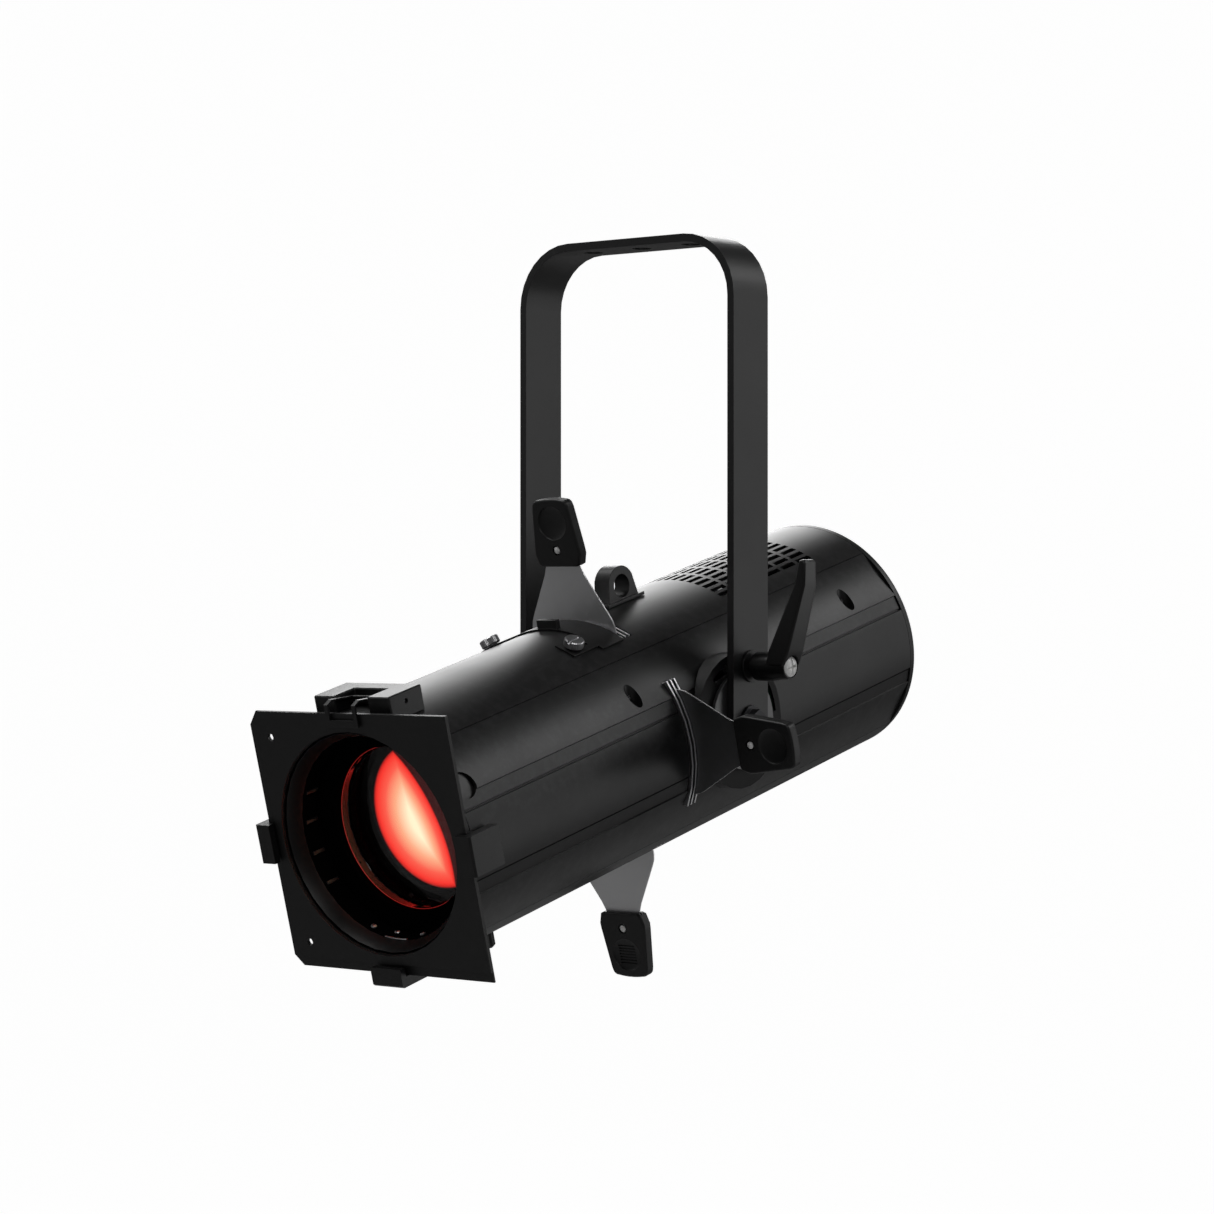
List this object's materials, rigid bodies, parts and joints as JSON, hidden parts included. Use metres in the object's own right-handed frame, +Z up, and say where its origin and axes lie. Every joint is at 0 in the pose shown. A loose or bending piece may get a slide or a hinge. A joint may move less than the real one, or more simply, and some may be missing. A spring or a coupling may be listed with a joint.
{
  "type": "ellipsoidal spotlight",
  "caption": "Theatre profile spotlight: a zoom barrel with framing shutters and an LED engine, tilting in a hanging yoke with a clamp lever.",
  "frame": {"origin": "the middle hanging hole, at the yoke's top face", "axes": "+Z up out of the yoke's top face, +X along the tilt line towards the clamp lever, light leaves towards -Y and 15 degrees down at rest"},
  "size_m": [0.312, 0.4862, 0.4682],
  "materials": {
    "satin_black_paint": "satin black powder coat",
    "black_casting": "fine-textured black on die-cast aluminium",
    "black_plastic": "moulded, matt",
    "stainless_sheet": "plain stainless sheet",
    "zinc_plated_steel": "zinc plated",
    "bare_aluminium": "bare, turned",
    "lens_glass": "polished, coated",
    "circuit_board": "lacquered board",
    "display_glass": "clear window over a dark display"
  },
  "bodies": {
    "yoke": {"yoke_strap": "satin_black_paint", "pivot_bolt_right": "zinc_plated_steel", "pivot_bolt_left": "zinc_plated_steel", "clamp_bolt": "zinc_plated_steel", "clamp_washer": "satin_black_paint"},
    "clamp_lever": {"clamp_lever": "black_plastic", "lever_screw": "zinc_plated_steel"},
    "shutter_top": {"shutter_blade_top": "stainless_sheet", "shutter_grip_top": "black_plastic"},
    "shutter_right": {"shutter_blade_right": "stainless_sheet", "shutter_grip_right": "black_plastic"},
    "shutter_bottom": {"shutter_blade_bottom": "stainless_sheet", "shutter_grip_bottom": "black_plastic"},
    "shutter_left": {"shutter_blade_left": "stainless_sheet", "shutter_grip_left": "black_plastic"},
    "latch_clip": {"latch_clip": "satin_black_paint"},
    "gobo_cover": {"gobo_cover": "satin_black_paint"},
    "thumbscrew_right": {"thumbscrew_right": "zinc_plated_steel"},
    "thumbscrew_left": {"thumbscrew_left": "zinc_plated_steel"},
    "zoom_carriage": {"zoom_carriage": "black_casting", "front_lens": "lens_glass"},
    "focus_carriage": {"focus_carriage": "black_casting", "rear_lens": "lens_glass"},
    "zoom_knob": {"zoom_knob": "black_plastic"},
    "focus_knob": {"focus_knob": "black_plastic"},
    "fan_rotor": {"fan_rotor": "black_plastic"},
    "menu_button": {"menu_button": "black_plastic"},
    "up_button": {"up_button": "black_plastic"},
    "down_button": {"down_button": "black_plastic"},
    "enter_button": {"enter_button": "black_plastic"},
    "barrel": {"top_cover": "satin_black_paint", "bottom_cover": "satin_black_paint", "side_panel_right": "satin_black_paint", "side_panel_left": "satin_black_paint", "gel_frame": "satin_black_paint", "lens_tube": "satin_black_paint", "rear_panel": "satin_black_paint", "tilt_bracket_right": "black_casting", "tilt_bracket_left": "black_casting", "safety_eye": "black_casting", "front_holder": "black_casting", "latch_housing": "black_casting", "condenser_holder": "black_casting", "fan_frame": "black_plastic", "rear_cap": "black_plastic", "power_inlet": "black_plastic", "power_outlet": "black_plastic", "data_inlet": "black_plastic", "data_outlet": "black_plastic", "gate_plate_rear": "stainless_sheet", "gate_plate_middle": "stainless_sheet", "gate_plate_front": "stainless_sheet", "latch_pin": "zinc_plated_steel", "friction_disc_right": "bare_aluminium", "friction_disc_left": "bare_aluminium", "heat_sink": "bare_aluminium", "ellipsoidal_reflector": "bare_aluminium", "condenser_lens": "lens_glass", "led_board": "circuit_board", "display_window": "display_glass"}
  },
  "joints": [
    {"name": "barrel_tilt", "type": "hinge", "parent": "yoke", "child": "barrel", "pos_m": [0, 0, -0.304], "axis": [1, 0, 0], "range_deg": [-40, 75]},
    {"name": "clamp_lever_turn", "type": "hinge", "parent": "yoke", "child": "clamp_lever", "pos_m": [0.0876, 0, -0.27], "axis": [1, 0, 0], "range_deg": [-60, 60]},
    {"name": "shutter_top_slide", "type": "slide", "parent": "barrel", "child": "shutter_top", "axis": [0, 0.2588, -0.9659], "range_m": [0, 0.033]},
    {"name": "shutter_right_slide", "type": "slide", "parent": "barrel", "child": "shutter_right", "axis": [-1, 0, 0], "range_m": [0, 0.033]},
    {"name": "shutter_bottom_slide", "type": "slide", "parent": "barrel", "child": "shutter_bottom", "axis": [0, -0.2588, 0.9659], "range_m": [0, 0.033]},
    {"name": "shutter_left_slide", "type": "slide", "parent": "barrel", "child": "shutter_left", "axis": [1, 0, 0], "range_m": [0, 0.033]},
    {"name": "latch_clip_hinge", "type": "hinge", "parent": "barrel", "child": "latch_clip", "pos_m": [0, -0.2511, -0.28722], "axis": [-1, 0, 0], "range_deg": [0, 85]},
    {"name": "gobo_cover_slide", "type": "slide", "parent": "barrel", "child": "gobo_cover", "axis": [0, -0.9659, -0.2588], "range_m": [0, 0.0085]},
    {"name": "thumbscrew_right_turn", "type": "hinge", "parent": "barrel", "child": "thumbscrew_right", "pos_m": [0.03235, -0.10579, -0.25886], "axis": [0.4147, -0.2355, 0.879], "range_deg": [0, 360]},
    {"name": "thumbscrew_left_turn", "type": "hinge", "parent": "barrel", "child": "thumbscrew_left", "pos_m": [-0.03235, -0.10579, -0.25886], "axis": [-0.4147, -0.2355, 0.879], "range_deg": [0, 360]},
    {"name": "zoom_slide", "type": "slide", "parent": "barrel", "child": "zoom_carriage", "axis": [0, -0.9659, -0.2588], "range_m": [-0.016, 0.003]},
    {"name": "focus_slide", "type": "slide", "parent": "barrel", "child": "focus_carriage", "axis": [0, -0.9659, -0.2588], "range_m": [-0.07, 0.002]},
    {"name": "zoom_knob_turn", "type": "hinge", "parent": "zoom_carriage", "child": "zoom_knob", "pos_m": [0, -0.19437, -0.44408], "axis": [0, -0.2588, 0.9659], "range_deg": [0, 180]},
    {"name": "focus_knob_turn", "type": "hinge", "parent": "focus_carriage", "child": "focus_knob", "pos_m": [0, -0.15573, -0.43373], "axis": [0, -0.2588, 0.9659], "range_deg": [0, 180]},
    {"name": "fan_spin", "type": "hinge", "parent": "barrel", "child": "fan_rotor", "pos_m": [0, 0.14924, -0.26401], "axis": [0, -0.9659, -0.2588], "continuous": true},
    {"name": "menu_button_press", "type": "slide", "parent": "barrel", "child": "menu_button", "axis": [0, -0.9659, -0.2588], "range_m": [0, 0.0015], "stiffness_N_per_m": 400, "springref_m": -0.0005},
    {"name": "up_button_press", "type": "slide", "parent": "barrel", "child": "up_button", "axis": [0, -0.9659, -0.2588], "range_m": [0, 0.0015], "stiffness_N_per_m": 400, "springref_m": -0.0005},
    {"name": "down_button_press", "type": "slide", "parent": "barrel", "child": "down_button", "axis": [0, -0.9659, -0.2588], "range_m": [0, 0.0015], "stiffness_N_per_m": 400, "springref_m": -0.0005},
    {"name": "enter_button_press", "type": "slide", "parent": "barrel", "child": "enter_button", "axis": [0, -0.9659, -0.2588], "range_m": [0, 0.0015], "stiffness_N_per_m": 400, "springref_m": -0.0005}
  ]
}
